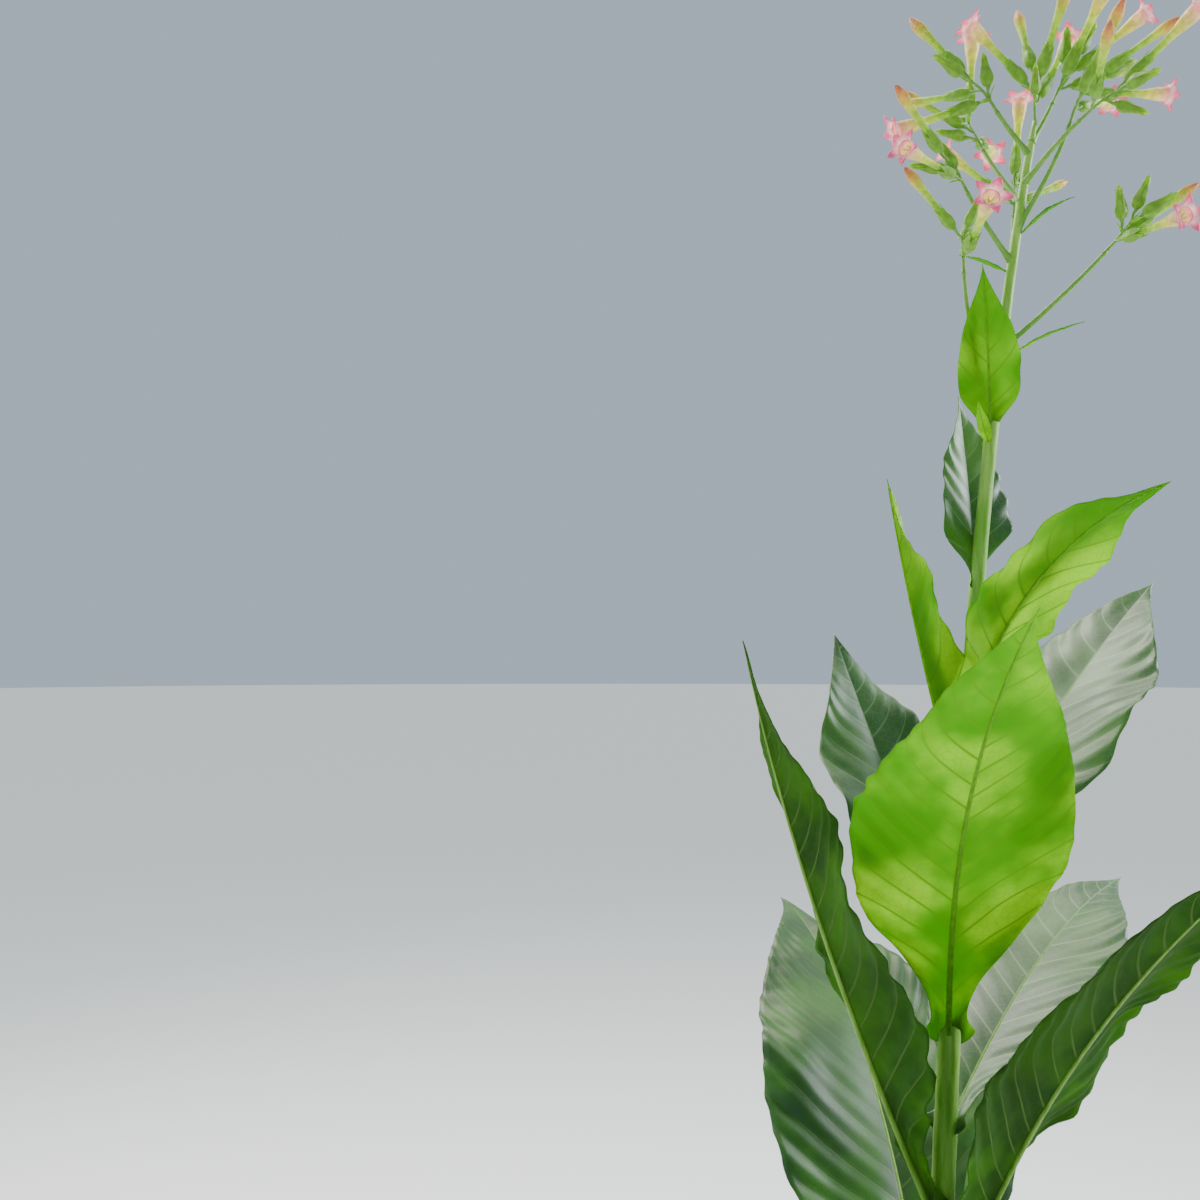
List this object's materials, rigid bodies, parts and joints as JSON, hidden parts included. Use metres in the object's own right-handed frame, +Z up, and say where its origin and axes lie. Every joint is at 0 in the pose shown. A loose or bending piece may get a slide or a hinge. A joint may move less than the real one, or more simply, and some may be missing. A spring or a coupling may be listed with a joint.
{
  "type": "tobacco plant",
  "caption": "Whole flowering tobacco plant: one leafy upright stem, winged oval leaves in a spiral, and a branched head of tubular pink-tipped blossom.",
  "frame": {"origin": "centre of the flat cut under the stem, at ground level", "axes": "+Z up the stem, -Y to the side the picture looks from, +X to the right of that view, the way the stem leans"},
  "size_m": [0.6922, 0.7003, 1.6818],
  "materials": {
    "stem": "green herbaceous stem, finely hairy, satin",
    "leaf": "living leaf, soft sheen, lets light through",
    "blossom": "green calyx, cream tube, pink limb, soft"
  },
  "bodies": {
    "root": {"stem": "stem", "bough_left_low": "stem", "bough_right_far": "stem", "bough_back_low": "stem", "bough_left": "stem", "bough_right": "stem", "bough_back_high": "stem", "bough_right_low": "stem", "bough_top_left": "stem", "bough_top_right": "stem", "leaf_01": "leaf", "leaf_02": "leaf", "leaf_03": "leaf", "leaf_04": "leaf", "leaf_05": "leaf", "leaf_06": "leaf", "leaf_07": "leaf", "leaf_08": "leaf", "leaf_09": "leaf", "leaf_10": "leaf", "leaf_11": "leaf", "leaf_12": "leaf", "leaf_13": "leaf", "leaf_14": "leaf", "leaf_15": "leaf", "leaf_16": "leaf", "leaf_17": "leaf", "leaf_18": "leaf", "leaf_19": "leaf", "leaf_20": "leaf", "leaf_21": "leaf", "leaf_22": "leaf", "leaf_23": "leaf", "bract_left_low": "leaf", "bract_right_far": "leaf", "bract_left": "leaf", "bract_right": "leaf", "blossom_stem": "blossom", "blossom_left_low": "blossom", "blossom_right_far": "blossom", "blossom_back_low": "blossom", "blossom_left": "blossom", "blossom_right": "blossom", "blossom_back_high": "blossom", "blossom_right_low": "blossom", "blossom_top_left": "blossom", "blossom_top_right": "blossom"}
  },
  "joints": []
}
